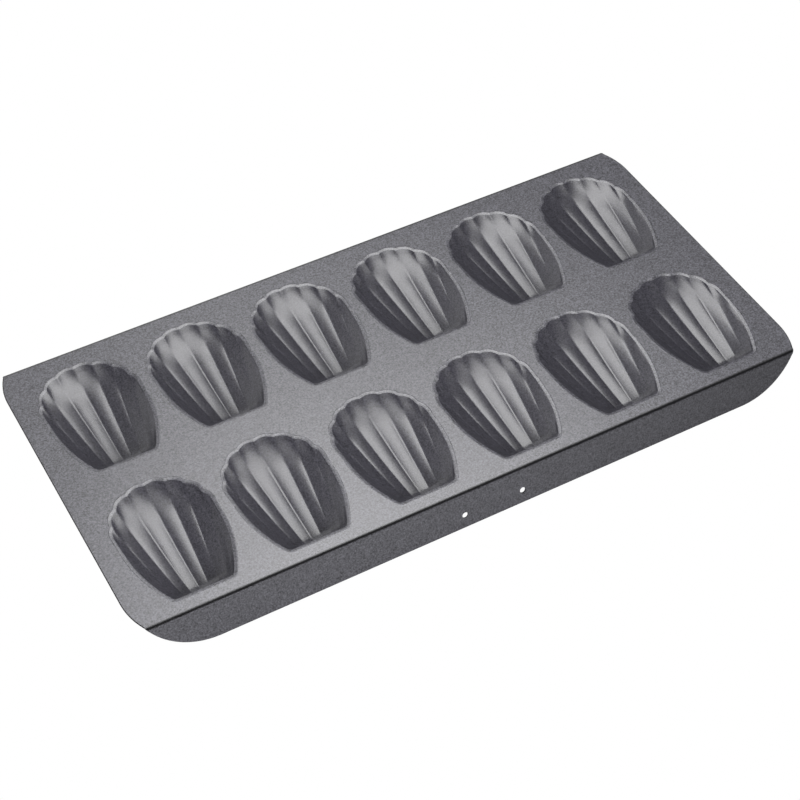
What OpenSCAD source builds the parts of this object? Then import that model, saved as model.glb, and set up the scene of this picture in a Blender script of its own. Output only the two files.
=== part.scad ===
// Madeleine pan: one deck, twelve shell moulds in two rows, and two flanges that carry it.
// Origin: middle of the footprint, on the surface that the pan stands on. +X runs along the pan.

/* [Sheet] */
// Thickness of the steel sheet
sheet = 0.8; // [0.5:0.1:1.2]
// Corner radius of the flat blank, before the flanges are folded
blank_corner_r = 41.3; // [30:0.1:60]

/* [Flanges] */
// Height of the deck above the surface that the pan stands on
deck_height = 20.3; // [16:0.1:30]
// Outward lean of a flange from the vertical, in degrees
flange_lean = 16.5; // [5:0.5:30]
// Outer radius of the fold
fold_r = 2.5; // [1.5:0.1:4]

/* [Hanging holes] */
// Diameter of a hanging hole
hole_d = 3.4; // [2:0.1:6]
// Distance between the two holes
hole_spacing = 35; // [20:1:80]
// Distance of a hole from the fold line, down the flange
hole_drop = 13.7; // [8:0.1:15]

/* [Mould layout] */
// Gap between neighbouring moulds along the pan, at their shoulders
column_gap = 10.2; // [7:0.1:16]
// Gap between the rims of the front row and the straight edges of the rear row
row_gap = 21.4; // [12:0.1:30]
// Distance from the shoulders of the outermost moulds to the ends of the pan
end_margin = 14.3; // [10:0.1:30]
// Distance from the front fold line to the straight edges of the front row
front_margin = 10.4; // [8:0.1:30]
// Distance from the rims of the rear row to the rear fold line
rear_margin = 14.2; // [10:0.1:30]

/* [Mould outline] */
// Length of a mould from its straight edge to the middle notch of its rim
mould_length = 74.8; // [68:0.1:84]
// Width of a mould at its shoulders
mould_width = 53.4; // [46:0.2:60]
// Distance from the straight edge to the shoulders
shoulder_at = 39.5; // [33:0.5:48]
// Width of the straight edge, measured between the sides as if its corners were sharp
straight_edge = 32.2; // [28:0.1:38]
// Radius of the two corners of the straight edge
corner_r = 3; // [1:0.1:4]
// How far each lobe of the rim stands out past its notches
lobe = 1.3; // [0.4:0.1:2]

/* [Mould depth] */
// Depth of the middle crease below the lip, at its deepest
crease_depth = 9.6; // [6:0.1:12]
// Height of a rib above the creases on both sides of it
rib_height = 0.65; // [0.3:0.05:1.5]
// Width of the sloping lip round a mould
lip_width = 2; // [1:0.1:2.6]
// Drop of the lip from the deck to the start of the wall
lip_drop = 0.4; // [0.2:0.1:0.8]

/* [Hidden] */

deck_colour = "#7b7b80";
mould_colour = "#5f5f64";
flange_colour = "#55555a";
columns = 6;
ribs = 8;
steps_per_rib = 3;
arc_steps = 96;
over = 1;
fold_steps = 12;
corner_steps = 16;
corner_to = 88;
straight_run = 0.5;

// The moulds, the gaps between them and the margins round them make up the pan.
column_pitch = mould_width + column_gap;
row_pitch = mould_length + row_gap;
pan_length = columns * mould_width + (columns - 1) * column_gap + 2 * end_margin;
fold_distance = front_margin + mould_length + row_pitch + rear_margin;

// The fold turns the sheet through fold_angle; the tangent points lie fold_tangent from the fold line.
fold_angle = 90 - flange_lean;
fold_tangent = fold_r * tan(fold_angle / 2);
deck_half = fold_distance / 2 - fold_tangent;
fold_length = fold_r * fold_angle * PI / 180;
leg_top_y = deck_half + fold_r * sin(fold_angle);
leg_top_z = deck_height - fold_r + fold_r * cos(fold_angle);
leg_length = leg_top_z / cos(flange_lean);
foot_y = leg_top_y + leg_top_z * tan(flange_lean);
blank_half = deck_half + fold_length + leg_length;
corner_x = pan_length / 2 - blank_corner_r;
corner_y = blank_half - blank_corner_r;

// Half length of the blank at a distance across it, measured in the flat
function blank_reach(across) = across <= corner_y ? pan_length / 2
    : corner_x + sqrt(blank_corner_r ^ 2 - (across - corner_y) ^ 2);

// Mould surface
// u runs across the mould from -1 to 1, with a crease between two ribs at every quarter.
// v runs from the straight edge, 0, to the scalloped rim, 1.
half_ribs = ribs / 2;
corner_share = 0.15;
rim_roundness = 0.75;
v_rows = [0, 0.03, 0.07, 0.12, 0.24, 0.38, 0.52, 0.65, 0.76, 0.86, 0.94, 1];
u_count = ribs * steps_per_rib;
u_values = [for (i = [0 : u_count]) -1 + 2 * i / u_count];

// Place between two creases, from 0 at the inner one to 1 at the outer one
function phase(u) = let (k = abs(u) * half_ribs, f = k - floor(k)) k >= half_ribs ? 1 : f;
function rib_wave(u) = 4 * phase(u) * (1 - phase(u));
// Value of a curve through [place, value] pairs at a place
function along(pairs, x) = lookup(x, pairs);

// Share of the crease depth, and of the rib height, along a mould
crease_profile = [[0, 0], [0.03, 0.55], [0.07, 0.88], [0.12, 1], [0.24, 0.97], [0.38, 0.9], [0.52, 0.8],
    [0.65, 0.68], [0.76, 0.56], [0.86, 0.38], [0.94, 0.18], [1, 0]];
rib_profile = [[0, 0], [0.03, 0.15], [0.07, 0.3], [0.12, 0.42], [0.24, 0.62], [0.38, 0.83], [0.52, 1],
    [0.65, 1], [0.76, 0.9], [0.86, 0.62], [0.94, 0.2], [1, 0]];

// Straight edge: a line, then a round corner that turns into the side
side_slope = (mould_width - straight_edge) / shoulder_at;
corner_turn = atan(1 / side_slope);
straight_half = straight_edge / 2 - corner_r * tan(corner_turn / 2);
function straight_point(u) = let (a = max(0, (abs(u) - 1 + corner_share) / corner_share) * corner_turn)
    abs(u) < 1 - corner_share ? [u / (1 - corner_share) * straight_half, 0]
    : [sign(u) * (straight_half + corner_r * sin(a)), corner_r * (1 - cos(a))];

// Rim: half an oval with a lobe at the end of each rib; the last lobe runs smoothly into the side
rim_length = mould_length - shoulder_at;
function lobe_wave(u) = let (f = phase(u))
    abs(u) * half_ribs > half_ribs - 1 ? 6 * f * (1 - f) ^ 2 : sin(180 * f);
function oval_point(u) = [mould_width / 2 * sin(90 * u), rim_length * cos(90 * u) ^ rim_roundness];
function rim_point(u) = let (p = oval_point(abs(u) < 1 ? u : sign(u) * 0.9999),
    out = [p.x / (mould_width / 2) ^ 2, p.y / rim_length ^ 2])
    [p.x, shoulder_at + p.y] + lobe * lobe_wave(u) * out / norm(out);
function plan_point(u, v) = let (a = straight_point(u), b = rim_point(u), side = abs(u) ^ 6)
    [a.x + (b.x - a.x) * ((1 - side) * v ^ 0.8 + side * (1 - (1 - v) ^ 2)), a.y + (b.y - a.y) * v];
function bowl(u) = 1 - abs(u) ^ 1.9;
function side_fade(u) = min(1, (1 - abs(u)) * ribs) ^ 0.5;
function depth(u, v) = crease_depth * bowl(u) * along(crease_profile, v)
    - rib_height * side_fade(u) * rib_wave(u) * along(rib_profile, v);
function inside_point(u, v) = let (p = plan_point(u, v)) [p.x, p.y, -lip_drop - depth(u, v)];

// Grid positions, with one more ring outside the grid for the lip
rows = len(v_rows);
cols = len(u_values);
grid = [for (v = v_rows) [for (u = u_values) inside_point(u, v)]];
function unit(w) = w / norm(w);
function clamp(i, n) = max(0, min(n - 1, i));
// Upright where a corner of the grid has no clear direction
function upward(w) = w.z > 0.1 ? unit(w) : [0, 0, 1];
function grid_normal(r, c) = upward(cross(
    grid[r][clamp(c + 1, cols)] - grid[r][clamp(c - 1, cols)],
    grid[clamp(r + 1, rows)][c] - grid[clamp(r - 1, rows)][c]));

// Edge of the grid as a closed loop of [row, column], counter-clockwise seen from above
edge_loop = [for (c = [0 : cols - 1]) [0, c], for (r = [1 : rows - 1]) [r, cols - 1],
    for (c = [cols - 2 : -1 : 0]) [rows - 1, c], for (r = [rows - 2 : -1 : 1]) [r, 0]];
edge_count = len(edge_loop);
edge_flat = [for (e = edge_loop) let (p = grid[e[0]][e[1]]) [p.x, p.y]];
function edge_out(i) = let (d = edge_flat[(i + 1) % edge_count] - edge_flat[(i + edge_count - 1) % edge_count])
    [d.y, -d.x] / norm(d);
mould_outline = [for (i = [0 : edge_count - 1]) edge_flat[i] + lip_width * edge_out(i)];

function column_x(i) = (i - (columns + 1) / 2) * column_pitch;
function row_y(row) = -fold_distance / 2 + front_margin + row * row_pitch;

module rounded_blank() {
    for (x = [-corner_x, corner_x], y = [-corner_y, corner_y])
        translate([x, y]) circle(r = blank_corner_r, $fn = arc_steps);
    square([2 * corner_x, 2 * blank_half], center = true);
    square([pan_length, 2 * corner_y], center = true);
}

module deck_plate() {
    color(deck_colour) translate([0, 0, deck_height - sheet]) linear_extrude(sheet) difference() {
        intersection() {
            rounded_blank();
            square([pan_length + over, 2 * deck_half], center = true);
        }
        for (i = [1 : columns], row = [0, 1])
            translate([column_x(i), row_y(row)]) polygon(mould_outline);
    }
}

// One pressed shell mould, with its deck surface at z = 0 and its straight edge on the X axis
module mould() {
    top = [for (row = grid) for (p = row) p];
    under = [for (r = [0 : rows - 1]) for (c = [0 : cols - 1]) grid[r][c] - sheet * grid_normal(r, c)];
    ring_top = [for (p = mould_outline) [p.x, p.y, 0]];
    ring_under = [for (p = mould_outline) [p.x, p.y, -sheet]];
    n = rows * cols;
    function at(r, c) = r * cols + c;
    function edge(i) = at(edge_loop[i % edge_count][0], edge_loop[i % edge_count][1]);
    function ring(i) = 2 * n + i % edge_count;
    top_faces = [for (r = [0 : rows - 2]) for (c = [0 : cols - 2]) for (f = [
        [at(r, c), at(r + 1, c), at(r + 1, c + 1)],
        [at(r, c), at(r + 1, c + 1), at(r, c + 1)]]) f];
    under_faces = [for (f = top_faces) [f[2] + n, f[1] + n, f[0] + n]];
    lip_faces = [for (i = [0 : edge_count - 1]) for (f = [
        [edge(i), edge(i + 1), ring(i + 1)],
        [edge(i), ring(i + 1), ring(i)]]) f];
    lip_under = [for (i = [0 : edge_count - 1]) for (f = [
        [edge(i) + n, ring(i + 1) + edge_count, edge(i + 1) + n],
        [edge(i) + n, ring(i) + edge_count, ring(i + 1) + edge_count]]) f];
    wall_faces = [for (i = [0 : edge_count - 1]) for (f = [
        [ring(i), ring(i + 1), ring(i + 1) + edge_count],
        [ring(i), ring(i + 1) + edge_count, ring(i) + edge_count]]) f];
    polyhedron(points = concat(top, under, ring_top, ring_under),
        faces = concat(top_faces, under_faces, lip_faces, lip_under, wall_faces), convexity = 6);
}

module placed_mould(i, row) {
    color(mould_colour) translate([column_x(i), row_y(row), deck_height]) mould();
}

// Section of a flange across the pan: the fold, then the flat leg down to where the pan stands
function fold_point(r, i) = let (a = fold_angle * i / fold_steps)
    [deck_half + r * sin(a), deck_height - fold_r + r * cos(a)];
flange_section = concat([for (i = [0 : fold_steps]) fold_point(fold_r, i)],
    [[foot_y, 0], [foot_y - sheet / cos(flange_lean), 0]],
    [for (i = [fold_steps : -1 : 0]) fold_point(fold_r - sheet, i)]);

// Outline of a flange in the plane of its leg: X along the pan, Y down the slope from the fold's end.
// The end of the sheet runs straight over the fold, then round the blank's corner to the lower edge.
fold_rise = fold_r * sin(fold_angle);
corner_s = corner_y - blank_half + leg_length;
corner_from = asin((straight_run - corner_s) / blank_corner_r);
corner_points = [for (i = [0 : corner_steps])
    let (a = corner_from + (corner_to - corner_from) * i / corner_steps)
    [corner_x + blank_corner_r * cos(a), corner_s + blank_corner_r * sin(a)]];
outline_half = concat([[blank_reach(deck_half), -fold_rise - over], [blank_reach(deck_half), -fold_rise]],
    corner_points, [[corner_points[corner_steps].x, leg_length + over]]);
flange_outline = concat(outline_half,
    [for (i = [len(outline_half) - 1 : -1 : 0]) [-outline_half[i].x, outline_half[i].y]]);

// Flange at the back of the pan
module flange(holes) {
    difference() {
        intersection() {
            rotate([90, 0, 90]) linear_extrude(pan_length, center = true) polygon(flange_section);
            translate([0, leg_top_y, leg_top_z]) rotate([-fold_angle, 0, 0])
                linear_extrude(4 * fold_r, center = true) polygon(flange_outline);
        }
        if (holes)
            for (x = [-hole_spacing / 2, hole_spacing / 2])
                translate([0, leg_top_y, leg_top_z]) rotate([-fold_angle, 0, 0])
                    translate([x, hole_drop - fold_tangent, -sheet - over])
                    cylinder(d = hole_d, h = sheet + 2 * over, $fn = 48);
    }
}

module front_flange() {
    color(flange_colour) mirror([0, 1, 0]) flange(true);
}

module rear_flange() {
    color(flange_colour) flange(false);
}

deck_plate();
placed_mould(1, 0);  // mould_front_1
placed_mould(2, 0);  // mould_front_2
placed_mould(3, 0);  // mould_front_3
placed_mould(4, 0);  // mould_front_4
placed_mould(5, 0);  // mould_front_5
placed_mould(6, 0);  // mould_front_6
placed_mould(1, 1);  // mould_rear_1
placed_mould(2, 1);  // mould_rear_2
placed_mould(3, 1);  // mould_rear_3
placed_mould(4, 1);  // mould_rear_4
placed_mould(5, 1);  // mould_rear_5
placed_mould(6, 1);  // mould_rear_6
front_flange();
rear_flange();
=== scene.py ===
"""Looks of the madeleine pan: coated deck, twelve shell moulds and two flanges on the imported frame."""

import logging
import math
from dataclasses import dataclass, field
from enum import Enum

import bmesh
import bpy
from mathutils import Matrix, Vector


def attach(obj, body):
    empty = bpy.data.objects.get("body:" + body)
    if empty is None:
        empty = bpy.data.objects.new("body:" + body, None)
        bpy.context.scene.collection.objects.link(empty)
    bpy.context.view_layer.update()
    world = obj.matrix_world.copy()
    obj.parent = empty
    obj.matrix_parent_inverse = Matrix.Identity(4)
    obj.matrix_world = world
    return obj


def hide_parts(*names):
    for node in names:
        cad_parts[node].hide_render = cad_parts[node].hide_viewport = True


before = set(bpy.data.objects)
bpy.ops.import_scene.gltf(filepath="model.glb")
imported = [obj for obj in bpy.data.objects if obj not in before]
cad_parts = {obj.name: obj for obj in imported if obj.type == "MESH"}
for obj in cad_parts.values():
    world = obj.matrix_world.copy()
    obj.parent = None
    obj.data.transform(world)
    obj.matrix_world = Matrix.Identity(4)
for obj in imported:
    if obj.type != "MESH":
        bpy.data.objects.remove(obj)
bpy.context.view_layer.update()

log = logging.getLogger("madeleine_pan")
MM = 0.001


class Row(Enum):
    """The two rows of moulds, with their number from the front."""

    FRONT = 0
    REAR = 1


@dataclass(frozen=True)
class SheetMetal:
    """Sizes of the pressed sheet, in millimetres, the same as the part's own.

    Attributes follow the part: length, fold lines, deck height, sheet and blank corner.
    """

    length: float = 400.0
    fold_distance: float = 195.6
    sheet: float = 0.8
    corner_r: float = 41.3
    deck_height: float = 20.3
    flange_lean: float = 16.5
    fold_r: float = 2.5

    @property
    def fold_angle(self) -> float:
        """Angle that the fold turns the sheet through, in radians."""
        return math.radians(90.0 - self.flange_lean)

    @property
    def deck_half(self) -> float:
        """Half width of the flat deck, up to where the fold starts."""
        return self.fold_distance / 2 - self.fold_r * math.tan(self.fold_angle / 2)

    @property
    def blank_half(self) -> float:
        """Half width of the flat blank before it is folded."""
        leg_top = self.deck_height - self.fold_r + self.fold_r * math.cos(self.fold_angle)
        leg = leg_top / math.cos(math.radians(self.flange_lean))
        return self.deck_half + self.fold_r * self.fold_angle + leg


class Curve:
    """A smooth curve through [place, value] pairs that never overshoots them."""

    def __init__(self, *pairs: tuple[float, float]) -> None:
        """Works out the slopes once.

        Args:
            pairs: places in rising order, each with its value.
        """
        self.x = [p[0] for p in pairs]
        self.y = [p[1] for p in pairs]
        steps = [(self.y[i + 1] - self.y[i]) / (self.x[i + 1] - self.x[i]) for i in range(len(pairs) - 1)]
        inner = [0.0 if a * b <= 0 else 2 * a * b / (a + b) for a, b in zip(steps, steps[1:])]
        self.slope = [steps[0]] + inner + [steps[-1]]

    def at(self, x: float) -> float:
        """Value of the curve.

        Args:
            x: place along the curve.

        Returns:
            The value there, held constant outside the pairs.
        """
        if x <= self.x[0]:
            return self.y[0]
        if x >= self.x[-1]:
            return self.y[-1]
        i = max(j for j in range(len(self.x) - 1) if self.x[j] <= x)
        h = self.x[i + 1] - self.x[i]
        t = (x - self.x[i]) / h
        return ((1 + 2 * t) * (1 - t) ** 2 * self.y[i] + t * (1 - t) ** 2 * h * self.slope[i]
                + t * t * (3 - 2 * t) * self.y[i + 1] - t * t * (1 - t) * h * self.slope[i + 1])


@dataclass(frozen=True)
class SpeckledCoat:
    """A charcoal non-stick coating with fine pale and dark specks.

    Attributes: colour is the middle tone, gloss the strength of its reflections, specks how far
    they depart from the tone, grain the height of the coat's fine texture in millimetres,
    speck_mm the size of a speck, and the fold shade heights, between which a dark line of
    painted shade runs along the crease of a fold, if there is one.
    """

    name: str
    colour: tuple[float, float, float] = (0.115, 0.115, 0.122)
    roughness: float = 0.42
    gloss: float = 0.55
    specks: float = 0.16
    speck_mm: float = 0.9
    grain: float = 0.012
    fold_shade_mm: tuple[float, float] | None = None

    def material(self) -> bpy.types.Material:
        """Builds the coat.

        Returns:
            The finished material.
        """
        mat = bpy.data.materials.new(self.name)
        mat.use_nodes = True
        tree = mat.node_tree
        shader = tree.nodes["Principled BSDF"]
        shader.inputs["IOR"].default_value = 1.5
        shader.inputs["Metallic"].default_value = 0.0
        shader.inputs["Specular IOR Level"].default_value = self.gloss
        place = tree.nodes.new("ShaderNodeTexCoord")
        coat = tree.nodes.new("ShaderNodeGroup")
        coat.node_tree = speckle_group()
        coat.inputs["Tone"].default_value = (*self.colour, 1.0)
        coat.inputs["Specks"].default_value = self.specks
        coat.inputs["Speck Scale"].default_value = 1.0 / (self.speck_mm * MM)
        coat.inputs["Roughness"].default_value = self.roughness
        bump = tree.nodes.new("ShaderNodeBump")
        bump.inputs["Strength"].default_value = 1.0
        bump.inputs["Distance"].default_value = self.grain * MM
        tree.links.new(place.outputs["Object"], coat.inputs["Place"])
        colour = coat.outputs["Colour"]
        if self.fold_shade_mm:
            colour = self.paint_fold_shade(tree, place, colour)
        tree.links.new(colour, shader.inputs["Base Color"])
        tree.links.new(coat.outputs["Roughness"], shader.inputs["Roughness"])
        tree.links.new(coat.outputs["Grain"], bump.inputs["Height"])
        tree.links.new(bump.outputs["Normal"], shader.inputs["Normal"])
        return mat

    def paint_fold_shade(self, tree: bpy.types.NodeTree, place: bpy.types.Node,
                  colour: bpy.types.NodeSocket) -> bpy.types.NodeSocket:
        """Darkens the coat in a thin line along the fold: painted shade in the crease of the bend.

        Args:
            tree: the material's nodes.
            place: the texture coordinates.
            colour: the coat's colour.

        Returns:
            The colour with its dark line of painted shade.
        """
        split, level = tree.nodes.new("ShaderNodeSeparateXYZ"), tree.nodes.new("ShaderNodeMapRange")
        ramp, blend = tree.nodes.new("ShaderNodeValToRGB"), tree.nodes.new("ShaderNodeMix")
        low, high = self.fold_shade_mm
        level.inputs["From Min"].default_value = low * MM
        level.inputs["From Max"].default_value = high * MM
        # white below the fold, near black through the bend and a little dark at the deck: a line of painted
        # shade in the crease
        stops = ramp.color_ramp.elements
        stops[0].position, stops[0].color = 0.0, (1, 1, 1, 1)
        stops[1].position, stops[1].color = 1.0, (0.7, 0.7, 0.7, 1)
        for spot in (0.45, 0.8):
            stops.new(spot).color = (0.08, 0.08, 0.08, 1)
        blend.data_type, blend.blend_type = "RGBA", "MULTIPLY"
        blend.inputs["Factor"].default_value = 1.0
        tree.links.new(place.outputs["Object"], split.inputs[0])
        tree.links.new(split.outputs["Z"], level.inputs["Value"])
        tree.links.new(level.outputs["Result"], ramp.inputs["Fac"])
        first, second = (s for s in blend.inputs if s.name in "AB" and s.type == "RGBA")
        tree.links.new(colour, first)
        tree.links.new(ramp.outputs["Color"], second)
        return next(s for s in blend.outputs if s.type == "RGBA")


def speckle_group() -> bpy.types.NodeTree:
    """Node group of the coat's specks, shared by all finishes.

    Returns:
        The group, built on first use.
    """
    name = "coating_specks"
    if name in bpy.data.node_groups:
        return bpy.data.node_groups[name]
    tree = bpy.data.node_groups.new(name, "ShaderNodeTree")
    sockets = (("Place", "Vector", "INPUT"), ("Tone", "Color", "INPUT"), ("Specks", "Float", "INPUT"),
               ("Speck Scale", "Float", "INPUT"), ("Roughness", "Float", "INPUT"),
               ("Colour", "Color", "OUTPUT"), ("Roughness", "Float", "OUTPUT"),
               ("Grain", "Float", "OUTPUT"))
    for label, kind, way in sockets:
        tree.interface.new_socket(label, in_out=way, socket_type=f"NodeSocket{kind}")
    nodes, links = tree.nodes, tree.links
    source, sink = nodes.new("NodeGroupInput"), nodes.new("NodeGroupOutput")
    fine = nodes.new("ShaderNodeTexNoise")
    fine.inputs["Detail"].default_value = 3.0
    fine.inputs["Roughness"].default_value = 0.7
    broad = nodes.new("ShaderNodeTexNoise")
    broad.inputs["Scale"].default_value = 22.0
    broad.inputs["Detail"].default_value = 2.0
    links.new(source.outputs["Place"], fine.inputs["Vector"])
    links.new(source.outputs["Place"], broad.inputs["Vector"])
    links.new(source.outputs["Speck Scale"], fine.inputs["Scale"])

    def maths(kind: str, first: object, second: object) -> bpy.types.NodeSocket:
        """Adds one Math node.

        Args:
            kind: the operation.
            first: a socket or a number.
            second: a socket or a number.

        Returns:
            The node's output socket.
        """
        node = nodes.new("ShaderNodeMath")
        node.operation = kind
        for slot, value in ((0, first), (1, second)):
            if isinstance(value, bpy.types.NodeSocket):
                links.new(value, node.inputs[slot])
            else:
                node.inputs[slot].default_value = value
        return node.outputs[0]

    speck = maths("SUBTRACT", fine.outputs["Fac"], 0.5)
    cloud = maths("SUBTRACT", broad.outputs["Fac"], 0.5)
    tone = maths("MULTIPLY", maths("MULTIPLY", speck, 4.0), source.outputs["Specks"])
    gain = maths("ADD", maths("ADD", tone, maths("MULTIPLY", cloud, 0.10)), 1.0)
    scale = nodes.new("ShaderNodeVectorMath")
    scale.operation = "SCALE"
    links.new(source.outputs["Tone"], scale.inputs[0])
    links.new(gain, scale.inputs["Scale"])
    links.new(scale.outputs["Vector"], sink.inputs["Colour"])
    rough = maths("ADD", source.outputs["Roughness"], maths("MULTIPLY", speck, 0.10))
    links.new(rough, sink.inputs["Roughness"])
    links.new(fine.outputs["Fac"], sink.inputs["Grain"])
    return tree


def finish_piece(bm: bmesh.types.BMesh, name: str, node: str,
                 finishes: tuple[bpy.types.Material, ...], sheet_mm: float) -> bpy.types.Object:
    """Turns a sheet surface into a finished piece that stands for a CAD node.

    Args:
        bm: the top surface, in metres, facing up.
        name: name of the new piece.
        node: CAD node that the piece replaces.
        finishes: the piece's material, and a second one for its lip or cut edge; the deck's cut edge gets a
            near-black painted shade.
        sheet_mm: thickness that is added under the surface.

    Returns:
        The finished object.
    """
    mesh = bpy.data.meshes.new(name)
    bm.to_mesh(mesh)
    bm.free()
    piece = bpy.data.objects.new(name, mesh)
    bpy.context.scene.collection.objects.link(piece)
    for finish in finishes:
        mesh.materials.append(finish)
    wall = piece.modifiers.new("sheet", "SOLIDIFY")
    # the sheet's rim takes the second finish, which on the deck is the near-black painted edge shade
    wall.material_offset_rim = len(finishes) - 1
    wall.thickness = sheet_mm * MM
    wall.offset = -1.0
    wall.use_even_offset = False
    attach(piece, "root")
    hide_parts(node)
    log.info("%s: %d faces", name, len(mesh.polygons))
    return piece


@dataclass
class ShellMould:
    """One ribbed shell mould: its outline, its depth and its sloping lip, in millimetres.

    The mould's own frame has the deck at z = 0 and its straight edge on the X axis. Places on
    it run across from u = -1 to 1, with a crease at every quarter, and along from the straight
    edge, v = 0, to the scalloped rim, v = 1.
    """

    length: float = 74.8
    width: float = 53.4
    shoulder: float = 39.5
    straight_edge: float = 32.2
    corner_r: float = 3.0
    corner_share: float = 0.15
    lobe: float = 1.3
    rim_roundness: float = 0.75
    crease_depth: float = 9.6
    rib_height: float = 0.65
    lip_width: float = 2.0
    lip_drop: float = 0.4
    ribs: int = 8
    cuts_per_rib: int = 12
    cuts_long: int = 72
    lip_steps: int = 5
    crease_line: Curve = field(default_factory=lambda: Curve(
        (0, 0), (0.03, 0.55), (0.07, 0.88), (0.12, 1), (0.24, 0.97), (0.38, 0.9), (0.52, 0.8),
        (0.65, 0.68), (0.76, 0.56), (0.86, 0.38), (0.94, 0.18), (1, 0)))
    rib_line: Curve = field(default_factory=lambda: Curve(
        (0, 0), (0.03, 0.15), (0.07, 0.3), (0.12, 0.42), (0.24, 0.62), (0.38, 0.83), (0.52, 1),
        (0.65, 1), (0.76, 0.9), (0.86, 0.62), (0.94, 0.2), (1, 0)))

    def phase(self, u: float) -> float:
        """Place between two creases, from 0 at the inner one to 1 at the outer one."""
        k = abs(u) * self.ribs / 2
        return 1.0 if k >= self.ribs / 2 else k - math.floor(k)

    def near_point(self, u: float) -> tuple[float, float]:
        """Place on the straight edge, which ends in a round corner on each side."""
        turn = math.atan(self.shoulder / (self.width - self.straight_edge))
        half = self.straight_edge / 2 - self.corner_r * math.tan(turn / 2)
        if abs(u) < 1 - self.corner_share:
            return u / (1 - self.corner_share) * half, 0.0
        angle = (abs(u) - 1 + self.corner_share) / self.corner_share * turn
        return (math.copysign(half + self.corner_r * math.sin(angle), u),
                self.corner_r * (1 - math.cos(angle)))

    def rim_point(self, u: float) -> tuple[float, float]:
        """Place on the rim, half an oval with a lobe at the end of each rib."""
        held = max(-0.9999, min(0.9999, u))
        half, rim = self.width / 2, self.length - self.shoulder
        x = half * math.sin(math.pi / 2 * held)
        y = rim * math.cos(math.pi / 2 * held) ** self.rim_roundness
        out = Vector((x / half ** 2, y / rim ** 2)).normalized()
        f = self.phase(u)
        last = abs(u) * self.ribs / 2 > self.ribs / 2 - 1
        reach = self.lobe * (6 * f * (1 - f) ** 2 if last else math.sin(math.pi * f))
        return x + reach * out.x, self.shoulder + y + reach * out.y

    def plan(self, u: float, v: float) -> tuple[float, float]:
        """Place of a grid point seen from above.

        Args:
            u: place across the mould, from -1 to 1.
            v: place from the straight edge, 0, to the rim, 1.

        Returns:
            The point's x and y.
        """
        (ax, ay), (bx, by) = self.near_point(u), self.rim_point(u)
        side = abs(u) ** 6
        share = (1 - side) * v ** 0.8 + side * (1 - (1 - v) ** 2)
        return ax + (bx - ax) * share, ay + (by - ay) * v

    def depth(self, u: float, v: float) -> float:
        """Depth of a grid point below the lip.

        Args:
            u: place across the mould, from -1 to 1.
            v: place from the straight edge, 0, to the rim, 1.

        Returns:
            The depth.
        """
        bowl = 1 - abs(u) ** 1.9
        fade = min(1.0, (1 - abs(u)) * self.ribs) ** 0.5
        wave = 4 * self.phase(u) * (1 - self.phase(u))
        return (self.crease_depth * bowl * self.crease_line.at(v)
                - self.rib_height * fade * wave * self.rib_line.at(v))

    def rows(self) -> list[float]:
        """Places of the cross cuts, closer together near both ends."""
        n = self.cuts_long
        return [0.5 - 0.5 * math.cos(math.pi * i / n) * (0.75 + 0.25 * abs(math.cos(math.pi * i / n)))
                for i in range(n + 1)]

    def outline(self) -> list[tuple[float, float]]:
        """Edge of the grid seen from above, counter-clockwise from the near left corner."""
        across = [-1 + 2 * i / (self.ribs * self.cuts_per_rib)
                  for i in range(self.ribs * self.cuts_per_rib + 1)]
        along = self.rows()
        loop = [(u, 0.0) for u in across] + [(1.0, v) for v in along[1:]]
        loop += [(u, 1.0) for u in reversed(across[:-1])] + [(-1.0, v) for v in reversed(along[1:-1])]
        return [self.plan(u, v) for u, v in loop]

    def lip_ring(self, share: float) -> list[tuple[float, float]]:
        """Outline moved outward.

        Args:
            share: how much of the lip's width it moves by, from 0 to 1.

        Returns:
            The moved outline.
        """
        base = self.outline()
        n = len(base)
        ring = []
        for i, (x, y) in enumerate(base):
            (ax, ay), (bx, by) = base[(i + n - 1) % n], base[(i + 1) % n]
            run = math.hypot(bx - ax, by - ay)
            ring.append((x + share * self.lip_width * (by - ay) / run,
                         y - share * self.lip_width * (bx - ax) / run))
        return ring

    def surface(self) -> bmesh.types.BMesh:
        """Builds the mould's inner surface with its lip.

        Returns:
            The surface in metres, in the mould's own frame.
        """
        bm = bmesh.new()
        across, along = self.ribs * self.cuts_per_rib, self.rows()
        made = bmesh.ops.create_grid(bm, x_segments=across, y_segments=self.cuts_long, size=1.0)
        for vert in made["verts"]:
            u = max(-1.0, min(1.0, vert.co.x))
            v = along[round((vert.co.y + 1) / 2 * self.cuts_long)]
            x, y = self.plan(u, v)
            vert.co = Vector((x, y, -self.lip_drop - self.depth(u, v))) * MM
        edge = [e for e in bm.edges if e.is_boundary]
        base = self.outline()
        for step in range(1, self.lip_steps + 1):
            before = base if step == 1 else self.lip_ring((step - 1) / self.lip_steps)
            after = self.lip_ring(step / self.lip_steps)
            share = step / self.lip_steps
            rise = self.lip_drop * (1 - share) ** 1.3
            known = {(round(x, 4), round(y, 4)): i for i, (x, y) in enumerate(before)}
            grown = bmesh.ops.extrude_edge_only(bm, edges=edge)["geom"]
            for vert in (g for g in grown if isinstance(g, bmesh.types.BMVert)):
                i = min(known.items(), key=lambda k: (k[0][0] - vert.co.x / MM) ** 2
                        + (k[0][1] - vert.co.y / MM) ** 2)[1]
                vert.co = Vector((*after[i], -rise)) * MM
            for face in (g for g in grown if isinstance(g, bmesh.types.BMFace)):
                face.material_index = 1
            edge = [g for g in grown if isinstance(g, bmesh.types.BMEdge) and g.is_boundary]
        bmesh.ops.recalc_face_normals(bm, faces=bm.faces)
        if sum(f.normal.z for f in bm.faces) < 0:
            bmesh.ops.reverse_faces(bm, faces=bm.faces)
        for face in bm.faces:
            face.smooth = True
        return bm


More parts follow.
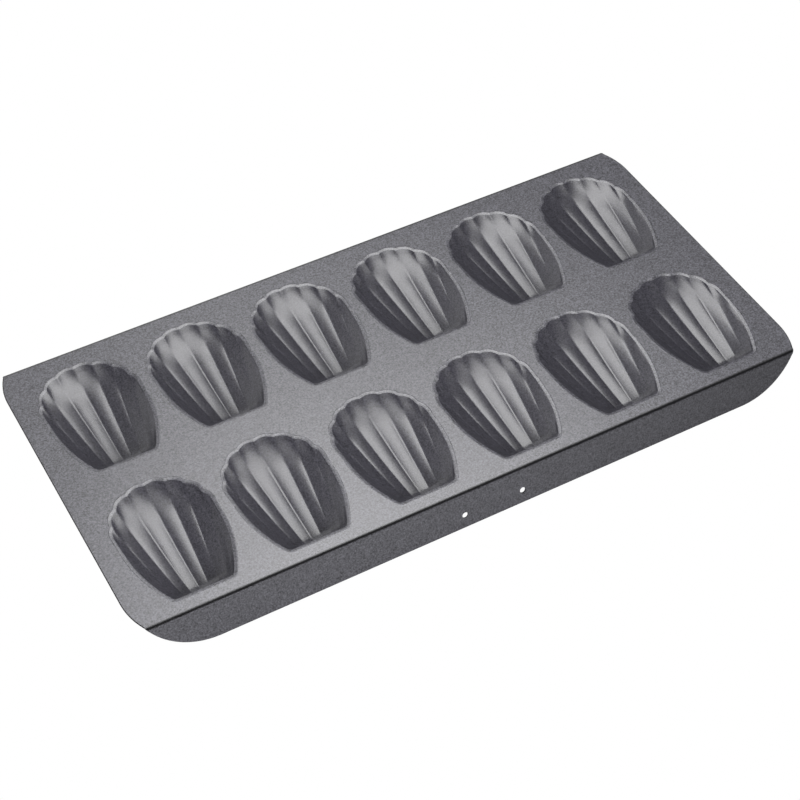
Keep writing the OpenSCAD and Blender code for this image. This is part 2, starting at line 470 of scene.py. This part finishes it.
@dataclass
class MouldArray:
    """The twelve moulds, six to a row, all with their straight edge to the front."""

    metal: SheetMetal
    mould: ShellMould
    columns: int = 6
    column_pitch: float = 63.6
    row_pitch: float = 96.2
    front_margin: float = 10.4

    def place(self, row: Row, column: int) -> Vector:
        """Where a mould's own frame sits.

        Args:
            row: front or rear row.
            column: column from the left, starting at 1.

        Returns:
            The place on the deck's top, in millimetres.
        """
        return Vector(((column - (self.columns + 1) / 2) * self.column_pitch,
                       -self.metal.fold_distance / 2 + self.front_margin + row.value * self.row_pitch,
                       self.metal.deck_height))

    def build(self, finish: bpy.types.Material, lip_finish: bpy.types.Material) -> None:
        """Builds all moulds from one surface.

        Args:
            finish: the moulds' material, a darker copy of the deck coat that paints shade in the hollows.
            lip_finish: the material of their lips, which the deck runs into.
        """
        master = self.mould.surface()
        for row in Row:
            for column in range(1, self.columns + 1):
                bm = master.copy()
                bmesh.ops.translate(bm, vec=self.place(row, column) * MM, verts=bm.verts)
                node = f"mould_{row.name.lower()}_{column}"
                finish_piece(bm, f"shell_{row.name.lower()}_{column}", node,
                             (finish, lip_finish), self.metal.sheet)
        master.free()


@dataclass
class Deck:
    """The flat top of the sheet, with round corners and an opening round each mould."""

    metal: SheetMetal
    moulds: MouldArray
    edge_width: float = 0.5
    edge_drop: float = 0.25

    def build(self, finish: bpy.types.Material, edge_shade_finish: bpy.types.Material) -> None:
        """Builds the deck plate, whose cut edge rolls off at both ends.

        Args:
            finish: the deck's material.
            edge_shade_finish: the near-black material of its cut edge and rolled strip, painted shade for
                an edge turned away from the lamps.
        """
        bm = bmesh.new()
        top = self.metal.deck_height
        bmesh.ops.create_grid(bm, x_segments=1, y_segments=1, size=0.5)
        reach = Vector((self.metal.length, 2 * self.metal.blank_half, 0)) * MM
        bmesh.ops.scale(bm, vec=(reach.x - 2 * self.edge_width * MM, reach.y - 2 * self.edge_width * MM, 1),
                        verts=bm.verts)
        bmesh.ops.bevel(bm, geom=bm.verts[:], offset=(self.metal.corner_r - self.edge_width) * MM,
                        offset_type="OFFSET", affect="VERTICES", segments=24, profile=0.5, material=-1)
        for side in (-1, 1):
            bmesh.ops.bisect_plane(bm, geom=bm.verts[:] + bm.edges[:] + bm.faces[:], dist=1e-7,
                                   plane_co=(0, side * self.metal.deck_half * MM, 0), plane_no=(0, side, 0),
                                   clear_outer=True)
        bmesh.ops.delete(bm, geom=bm.faces[:], context="FACES_ONLY")
        ring = self.moulds.mould.lip_ring(1.0)
        for row in Row:
            for column in range(1, self.moulds.columns + 1):
                spot = self.moulds.place(row, column)
                loop = [bm.verts.new(((x + spot.x) * MM, (y + spot.y) * MM, 0)) for x, y in ring]
                for a, b in zip(loop, loop[1:] + loop[:1]):
                    bm.edges.new((a, b))
        bmesh.ops.triangle_fill(bm, use_beauty=True, use_dissolve=False, edges=bm.edges[:],
                                normal=(0, 0, 1))
        self.roll_edge(bm)
        bmesh.ops.translate(bm, vec=(0, 0, top * MM), verts=bm.verts)
        bmesh.ops.recalc_face_normals(bm, faces=bm.faces)
        if sum(f.normal.z for f in bm.faces) < 0:
            bmesh.ops.reverse_faces(bm, faces=bm.faces)
        finish_piece(bm, "deck_sheet", "deck_plate", (finish, edge_shade_finish), self.metal.sheet)


    def roll_edge(self, bm: bmesh.types.BMesh) -> None:
        """Adds the rolled-off strip along the cut ends and their round corners, coloured with the cut
        edge's near-black painted shade.

        Args:
            bm: the flat deck, at z = 0.
        """
        ends = [e for e in bm.edges if e.is_boundary
                and all(abs(v.co.x) > (self.metal.length / 2 - 10) * MM for v in e.verts)
                and not all(abs(v.co.y) > (self.metal.deck_half - 0.01) * MM for v in e.verts)]
        grown = bmesh.ops.extrude_edge_only(bm, edges=ends)["geom"]
        radius = self.metal.corner_r - self.edge_width
        for vert in (g for g in grown if isinstance(g, bmesh.types.BMVert)):
            x, y = vert.co.x / MM, vert.co.y / MM
            centre_x = math.copysign(self.metal.length / 2 - self.metal.corner_r, x)
            centre_y = math.copysign(min(abs(y), self.metal.blank_half - self.metal.corner_r), y)
            out = Vector((x - centre_x, y - centre_y)) / radius
            vert.co += Vector((out.x * self.edge_width, out.y * self.edge_width, -self.edge_drop)) * MM
        # the strip takes the near-black painted shade of the cut edge
        for face in (g for g in grown if isinstance(g, bmesh.types.BMFace)):
            face.material_index = 1


@dataclass
class Flanges:
    """The two folded flanges, whose solids keep their exact shape and get a darker copy of the coat,
    painted shade for their steep faces.
    """

    nodes: tuple[str, ...] = ("front_flange", "rear_flange")

    def dress(self, finish: bpy.types.Material) -> None:
        """Gives the flanges their finish.

        Args:
            finish: the flanges' material, a darker copy of the deck coat as painted shade, with a painted
                shade line along the fold.
        """
        for name in self.nodes:
            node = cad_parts[name]
            if not node.material_slots:
                node.data.materials.append(finish)
            for slot in node.material_slots:
                slot.link = "OBJECT"
                slot.material = finish
            log.info("%s: coated", name)


@dataclass
class Studio:
    """Camera, white surroundings and soft lights, in metres and degrees."""

    metal: SheetMetal
    azimuth: float = -28.607
    elevation: float = 47.16
    roll: float = -0.408
    lens: float = 84.54
    distance: float = 1.03448
    shift_right: float = -0.000125
    shift_up: float = -0.020337

    def camera(self) -> None:
        """Creates the camera at the photograph's place."""
        az, el, roll = (math.radians(a) for a in (self.azimuth, self.elevation, self.roll))
        back = Vector((math.sin(az) * math.cos(el), -math.cos(az) * math.cos(el), math.sin(el)))
        right = (-back).cross(Vector((0, 0, 1))).normalized()
        up = right.cross(-back)
        right, up = (math.cos(roll) * right + math.sin(roll) * up,
                     math.cos(roll) * up - math.sin(roll) * right)
        spot = back * self.distance + right * self.shift_right + up * self.shift_up
        spot.z += self.metal.deck_height * MM
        data = bpy.data.cameras.new("camera")
        data.sensor_width = 36
        data.lens = self.lens
        data.clip_end = 20
        eye = bpy.data.objects.new("camera", data)
        eye.matrix_world = Matrix(((right.x, up.x, back.x, spot.x), (right.y, up.y, back.y, spot.y),
                                   (right.z, up.z, back.z, spot.z), (0, 0, 0, 1)))
        bpy.context.scene.collection.objects.link(eye)
        bpy.context.scene.camera = eye

    def lamp(self, name: str, place: tuple[float, float, float], aim: tuple[float, float, float],
             size: tuple[float, float], power: float, mirrored: bool = True) -> None:
        """Adds one soft box.

        Args:
            name: the lamp's name.
            place: where it hangs.
            aim: the point that it faces.
            size: its width and height.
            power: its power in watts.
            mirrored: whether the coat reflects it as a highlight.
        """
        data = bpy.data.lights.new(name, "AREA")
        data.shape = "RECTANGLE"
        data.size, data.size_y = size
        data.energy = power
        lamp = bpy.data.objects.new(name, data)
        lamp.visible_glossy = mirrored
        lamp.location = place
        lamp.rotation_euler = (Vector(aim) - Vector(place)).to_track_quat("-Z", "Y").to_euler()
        bpy.context.scene.collection.objects.link(lamp)

    def world(self) -> None:
        """White to the camera, and a soft gray room to the pan."""
        world = bpy.data.worlds.new("room")
        bpy.context.scene.world = world
        world.use_nodes = True
        nodes, links = world.node_tree.nodes, world.node_tree.links
        nodes.clear()
        out, mix = nodes.new("ShaderNodeOutputWorld"), nodes.new("ShaderNodeMixShader")
        room, white = nodes.new("ShaderNodeBackground"), nodes.new("ShaderNodeBackground")
        ray = nodes.new("ShaderNodeLightPath")
        room.inputs["Color"].default_value = (1, 1, 1, 1)
        room.inputs["Strength"].default_value = 0.08
        white.inputs["Color"].default_value = (1, 1, 1, 1)
        links.new(ray.outputs["Is Camera Ray"], mix.inputs["Fac"])
        links.new(room.outputs[0], mix.inputs[1])
        links.new(white.outputs[0], mix.inputs[2])
        links.new(mix.outputs[0], out.inputs["Surface"])

    def floor(self) -> None:
        """Gray floor that reflects a little light to the pan and is white to the camera."""
        bm = bmesh.new()
        bmesh.ops.create_grid(bm, x_segments=1, y_segments=1, size=3.0)
        mesh = bpy.data.meshes.new("floor")
        bm.to_mesh(mesh)
        bm.free()
        slab = bpy.data.objects.new("floor", mesh)
        bpy.context.scene.collection.objects.link(slab)
        mat = bpy.data.materials.new("floor_gray")
        mat.use_nodes = True
        nodes, links = mat.node_tree.nodes, mat.node_tree.links
        shader = nodes["Principled BSDF"]
        shader.inputs["Base Color"].default_value = (0.3, 0.3, 0.3, 1)
        shader.inputs["Roughness"].default_value = 0.9
        glow, ray = nodes.new("ShaderNodeEmission"), nodes.new("ShaderNodeLightPath")
        mix, out = nodes.new("ShaderNodeMixShader"), nodes["Material Output"]
        glow.inputs["Color"].default_value = (1, 1, 1, 1)
        glow.inputs["Strength"].default_value = 1.0
        links.new(ray.outputs["Is Camera Ray"], mix.inputs["Fac"])
        links.new(shader.outputs[0], mix.inputs[1])
        links.new(glow.outputs[0], mix.inputs[2])
        links.new(mix.outputs[0], out.inputs["Surface"])
        mesh.materials.append(mat)

    def build(self) -> None:
        """Sets up camera, world, floor and lamps."""
        bpy.context.scene.view_settings.view_transform = "Standard"
        self.camera()
        self.world()
        self.floor()
        self.lamp("top_box", (0.2, 0.37, 0.9), (0, 0, 0), (0.52, 0.48), 10)
        self.lamp("back_box", (-0.3, 1.48, 0.75), (0, 0, 0.05), (1.8, 1.0), 8.6)
        self.lamp("front_box", (-0.15, -0.52, 0.22), (-0.1, -0.1, 0.01), (0.35, 0.25), 4.8,
                  mirrored=False)
        log.info("studio: camera, floor and three soft boxes")


def main() -> None:
    """Builds the pan's pieces in order."""
    logging.basicConfig(level=logging.INFO, format="%(message)s")
    metal = SheetMetal()
    moulds = MouldArray(metal, ShellMould())
    # one non-stick coat in three tones: the darker tones of the moulds and flanges are painted shade for
    # the hollows and the steep faces turned from the lamps
    deck_coat = SpeckledCoat("deck_coat", colour=(0.066, 0.065, 0.076), roughness=0.37, specks=1.2)
    mould_shaded_coat = SpeckledCoat("mould_shaded_coat", colour=(0.035, 0.034, 0.042), roughness=0.31, gloss=0.42,
                              specks=1.0)
    # the flange coat also gets a dark line of painted shade along the fold, between the two heights
    flange_shaded_coat = SpeckledCoat("flange_shaded_coat", colour=(0.046, 0.0455, 0.0515), roughness=0.4, specks=1.0,
                               fold_shade_mm=(19.2, 20.3))
    # near-black painted shade for the deck's cut edge and rolled strip, which turn away from the lamps
    edge_shade_coat = SpeckledCoat("edge_shade_coat", colour=(0.012, 0.012, 0.014), roughness=0.6, specks=0.2)
    deck_finish = deck_coat.material()
    moulds.build(mould_shaded_coat.material(), deck_finish)
    Deck(metal, moulds).build(deck_finish, edge_shade_coat.material())
    Flanges().dress(flange_shaded_coat.material())
    Studio(metal).build()
    bpy.context.view_layer.update()


if __name__ == "__main__":
    main()
